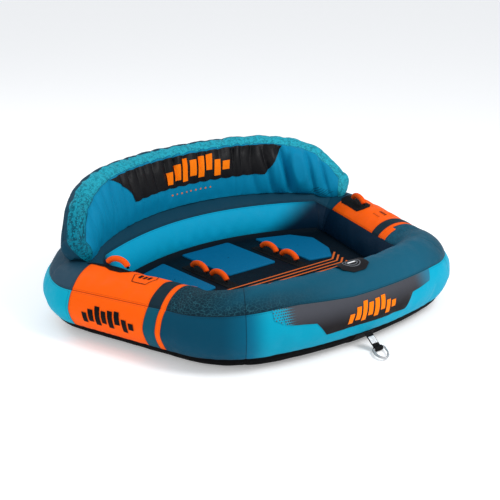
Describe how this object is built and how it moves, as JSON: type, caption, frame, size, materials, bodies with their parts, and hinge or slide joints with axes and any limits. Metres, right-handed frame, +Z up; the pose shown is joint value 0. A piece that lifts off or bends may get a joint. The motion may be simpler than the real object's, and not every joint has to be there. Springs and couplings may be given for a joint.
{
  "type": "towable tube",
  "caption": "Inflatable couch-style towable tube: a covered ring with a floor, an arched backrest, foam-grip handles and a front tow strap with a metal ring.",
  "frame": {"origin": "on the flat underside, on the centre plane, roughly under the middle of the cockpit", "axes": "+X across the three seats, to the right when looking from the boat towards the backrest; -Y towards the boat; +Z up"},
  "size_m": [2.0754, 1.7718, 0.66],
  "materials": {
    "nylon_teal": "coated woven nylon, satin",
    "nylon_petrol": "coated woven nylon with a printed pattern, satin",
    "nylon_navy": "coated woven nylon, satin",
    "nylon_orange": "coated woven nylon, satin",
    "nylon_black": "coated woven nylon, matte",
    "nylon_grey": "printed coated nylon, satin",
    "webbing_black": "polyester webbing, matte",
    "grip_orange": "closed-cell foam, matte",
    "bladder_pvc": "PVC film, satin",
    "valve_plastic": "moulded plastic, satin",
    "label_white": "woven label, matte",
    "alloy": "satin metal rod"
  },
  "bodies": {
    "cover_and_bladders": {"backrest_base_panel": "nylon_navy", "backrest_bladder": "bladder_pvc", "backrest_border": "nylon_petrol", "backrest_front_panel": "nylon_teal", "backrest_rear_panel": "nylon_navy", "backrest_valve_body": "valve_plastic", "bottom_cover": "nylon_black", "floor_bladder": "bladder_pvc", "floor_panel": "nylon_navy", "front_graphic_panel": "nylon_grey", "front_inner_wall": "nylon_navy", "front_side_panel": "nylon_teal", "front_top_panel": "nylon_petrol", "handle_backing_left": "webbing_black", "handle_backing_right": "webbing_black", "handle_strip_left": "webbing_black", "handle_strip_right": "webbing_black", "main_bladder": "bladder_pvc", "main_valve_body": "valve_plastic", "rear_inner_wall": "nylon_teal", "rear_side_panel": "nylon_teal", "rear_top_panel": "nylon_navy", "seat_pad_centre": "nylon_teal", "seat_pad_left": "nylon_teal", "seat_pad_right": "nylon_teal", "seat_valve_body": "valve_plastic", "side_band_left": "nylon_navy", "side_band_right": "nylon_navy", "side_patch_left": "nylon_orange", "side_patch_right": "nylon_orange", "side_stripe_left": "nylon_orange", "side_stripe_right": "nylon_orange", "tow_anchor_patch": "webbing_black", "tow_webbing": "webbing_black", "zip_tape": "nylon_black"},
    "floor_handle_front_left": {"floor_handle_front_left_grip": "grip_orange", "floor_handle_front_left_core": "webbing_black"},
    "floor_handle_front_right": {"floor_handle_front_right_grip": "grip_orange", "floor_handle_front_right_core": "webbing_black"},
    "floor_handle_rear_left": {"floor_handle_rear_left_grip": "grip_orange", "floor_handle_rear_left_core": "webbing_black"},
    "floor_handle_rear_right": {"floor_handle_rear_right_grip": "grip_orange", "floor_handle_rear_right_core": "webbing_black"},
    "side_handle_left": {"side_handle_left_grip": "grip_orange", "side_handle_left_core": "webbing_black"},
    "side_handle_right": {"side_handle_right_grip": "grip_orange", "side_handle_right_core": "webbing_black"},
    "tow_strap": {"tow_strap": "webbing_black", "strap_label": "label_white", "strap_loop": "webbing_black"},
    "connector": {"connector_body": "alloy"},
    "connector_gate": {"connector_gate": "alloy"},
    "valve_flap": {"valve_flap": "nylon_black"},
    "main_valve_cap": {"main_valve_cap": "valve_plastic"},
    "seat_valve_cap": {"seat_valve_cap": "valve_plastic"},
    "backrest_valve_cap": {"backrest_valve_cap": "valve_plastic"},
    "zip_slider": {"zip_slider": "valve_plastic", "zip_pull": "valve_plastic"}
  },
  "joints": [
    {"name": "floor_handle_front_left_fold", "type": "hinge", "parent": "cover_and_bladders", "child": "floor_handle_front_left", "pos_m": [-0.233, 0.012, 0.1545], "axis": [0, 1, 0], "range_deg": [-45, 45], "stiffness_Nm_per_rad": 0.3},
    {"name": "floor_handle_rear_left_fold", "type": "hinge", "parent": "cover_and_bladders", "child": "floor_handle_rear_left", "pos_m": [-0.233, 0.172, 0.1545], "axis": [0, 1, 0], "range_deg": [-45, 45], "stiffness_Nm_per_rad": 0.3},
    {"name": "floor_handle_front_right_fold", "type": "hinge", "parent": "cover_and_bladders", "child": "floor_handle_front_right", "pos_m": [0.233, 0.012, 0.1545], "axis": [0, 1, 0], "range_deg": [-45, 45], "stiffness_Nm_per_rad": 0.3},
    {"name": "floor_handle_rear_right_fold", "type": "hinge", "parent": "cover_and_bladders", "child": "floor_handle_rear_right", "pos_m": [0.233, 0.172, 0.1545], "axis": [0, 1, 0], "range_deg": [-45, 45], "stiffness_Nm_per_rad": 0.3},
    {"name": "side_handle_left_fold", "type": "hinge", "parent": "cover_and_bladders", "child": "side_handle_left", "pos_m": [-0.79493, 0.07513, 0.33466], "axis": [-0.2732, 0.962, 0], "range_deg": [-45, 45], "stiffness_Nm_per_rad": 0.3},
    {"name": "side_handle_right_fold", "type": "hinge", "parent": "cover_and_bladders", "child": "side_handle_right", "pos_m": [0.79493, 0.07513, 0.33466], "axis": [0.2732, 0.962, 0], "range_deg": [-45, 45], "stiffness_Nm_per_rad": 0.3},
    {"name": "tow_strap_swing", "type": "hinge", "parent": "cover_and_bladders", "child": "tow_strap", "pos_m": [0, -0.799, 0.0745], "axis": [-1, 0, 0], "range_deg": [0, 60]},
    {"name": "connector_swing", "type": "hinge", "parent": "tow_strap", "child": "connector", "pos_m": [0, -0.872, 0.0145], "axis": [-1, 0, 0], "range_deg": [-4, 50]},
    {"name": "connector_gate_press", "type": "hinge", "parent": "connector", "child": "connector_gate", "pos_m": [0.03389, -0.88213, 0.0145], "axis": [0, 0, -1], "range_deg": [0, 20], "stiffness_Nm_per_rad": 0.1, "springref_deg": -11.46},
    {"name": "valve_flap_open", "type": "hinge", "parent": "cover_and_bladders", "child": "valve_flap", "pos_m": [0, -0.62105, 0.3659], "axis": [-1, 0, 0], "range_deg": [0, 150]},
    {"name": "main_valve_cap_turn", "type": "hinge", "parent": "cover_and_bladders", "child": "main_valve_cap", "pos_m": [0, -0.67986, 0.37395], "axis": [0, -0.0446, 0.999], "range_deg": [-90, 0]},
    {"name": "seat_valve_cap_turn", "type": "hinge", "parent": "cover_and_bladders", "child": "seat_valve_cap", "pos_m": [0, -0.44, 0.153], "axis": [0, 0, 1], "range_deg": [-90, 0]},
    {"name": "backrest_valve_cap_turn", "type": "hinge", "parent": "cover_and_bladders", "child": "backrest_valve_cap", "pos_m": [0, 0.75467, 0.47326], "axis": [0, 0.9512, -0.3086], "range_deg": [-90, 0]},
    {"name": "zip_slider_run", "type": "hinge", "parent": "cover_and_bladders", "child": "zip_slider", "pos_m": [0, -0.84256, 0.1648], "axis": [0, 0, -1], "range_deg": [0, 23]}
  ]
}
